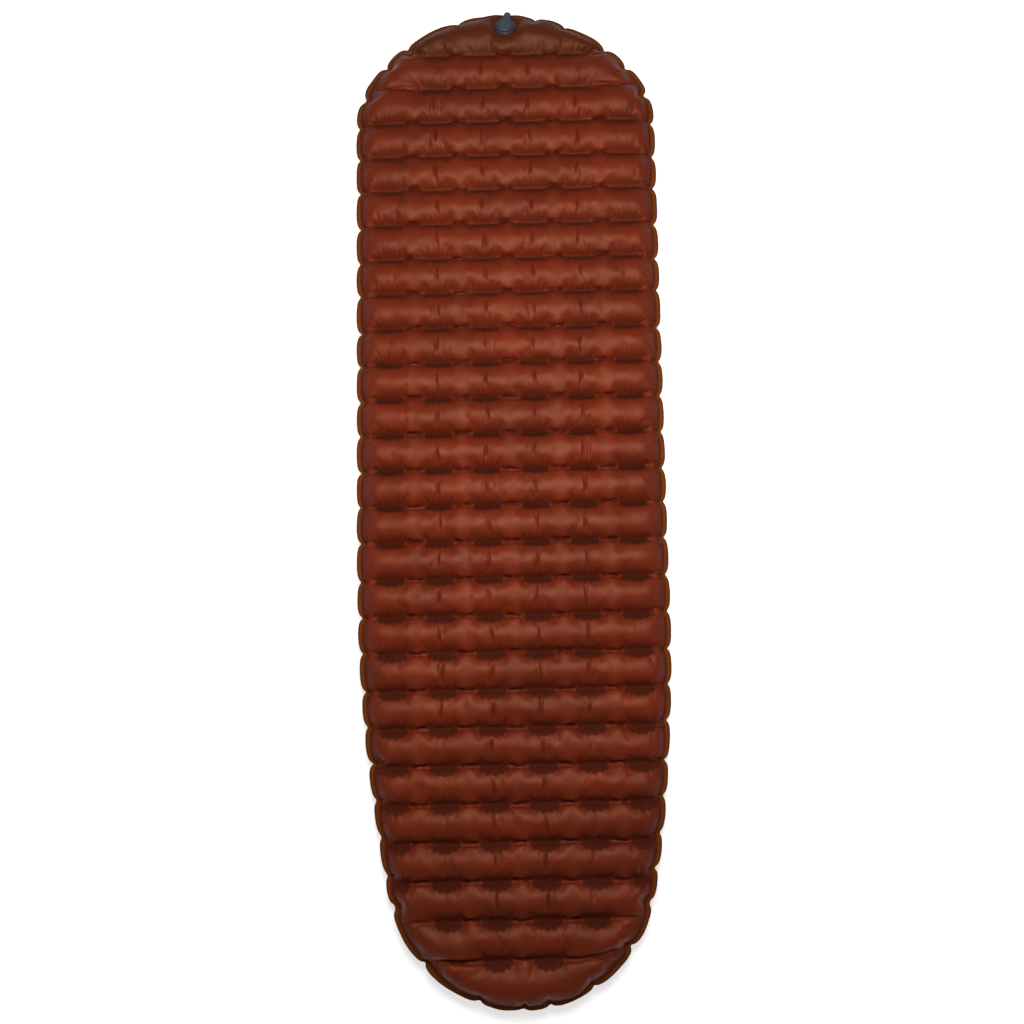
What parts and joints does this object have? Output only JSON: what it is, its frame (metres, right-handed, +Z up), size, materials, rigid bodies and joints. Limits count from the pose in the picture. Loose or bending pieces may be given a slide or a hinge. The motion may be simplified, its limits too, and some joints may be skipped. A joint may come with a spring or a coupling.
{
  "type": "inflatable sleeping pad",
  "caption": "Long, tapered inflatable sleeping pad with rounded ends, cross chambers, a flat rim weld and a flat filling valve with a hinged lid and pull-out plug.",
  "frame": {"origin": "middle of the pad's outline, on the ground", "axes": "+Z up, +Y towards the head end with the valve, +X across the pad"},
  "size_m": [0.558, 1.8296, 0.0771],
  "materials": {
    "shell_fabric": "satin coated weave",
    "base_fabric": "matt coated weave",
    "web_fabric": "plain coated film",
    "valve_base_plastic": "fine moulded texture",
    "plug_plastic": "fine moulded texture",
    "lid_plastic": "fine moulded texture",
    "seal_rubber": "smooth",
    "flap_silicone": "smooth translucent",
    "pin_steel": "drawn"
  },
  "bodies": {
    "pad": {"top_sheet": "shell_fabric", "bottom_sheet": "base_fabric", "web_01": "web_fabric", "web_02": "web_fabric", "web_03": "web_fabric", "web_04": "web_fabric", "web_05": "web_fabric", "web_06": "web_fabric", "web_07": "web_fabric", "web_08": "web_fabric", "web_09": "web_fabric", "web_10": "web_fabric", "web_11": "web_fabric", "web_12": "web_fabric", "web_13": "web_fabric", "web_14": "web_fabric", "web_15": "web_fabric", "web_16": "web_fabric", "web_17": "web_fabric", "web_18": "web_fabric", "web_19": "web_fabric", "web_20": "web_fabric", "web_21": "web_fabric", "web_22": "web_fabric", "web_23": "web_fabric", "web_24": "web_fabric", "web_25": "web_fabric", "web_26": "web_fabric", "valve_base": "valve_base_plastic"},
    "deflation_plug": {"plug_body": "plug_plastic", "plug_ring": "seal_rubber", "hinge_pin": "pin_steel"},
    "filling_lid": {"lid": "lid_plastic", "lid_washer": "seal_rubber"},
    "check_flap": {"one_way_flap": "flap_silicone"}
  },
  "joints": [
    {"name": "plug_pull", "type": "slide", "parent": "pad", "child": "deflation_plug", "axis": [0, 0.2079, 0.9781], "range_m": [0, 0.014]},
    {"name": "lid_hinge", "type": "hinge", "parent": "deflation_plug", "child": "filling_lid", "pos_m": [0.00181, 0.86674, 0.0751], "axis": [0.9744, -0.22, 0.0468], "range_deg": [0, 150]},
    {"name": "flap_lift", "type": "slide", "parent": "deflation_plug", "child": "check_flap", "axis": [0, -0.2079, -0.9781], "range_m": [0, 0.002], "stiffness_N_per_m": 20, "springref_m": -0.001}
  ]
}
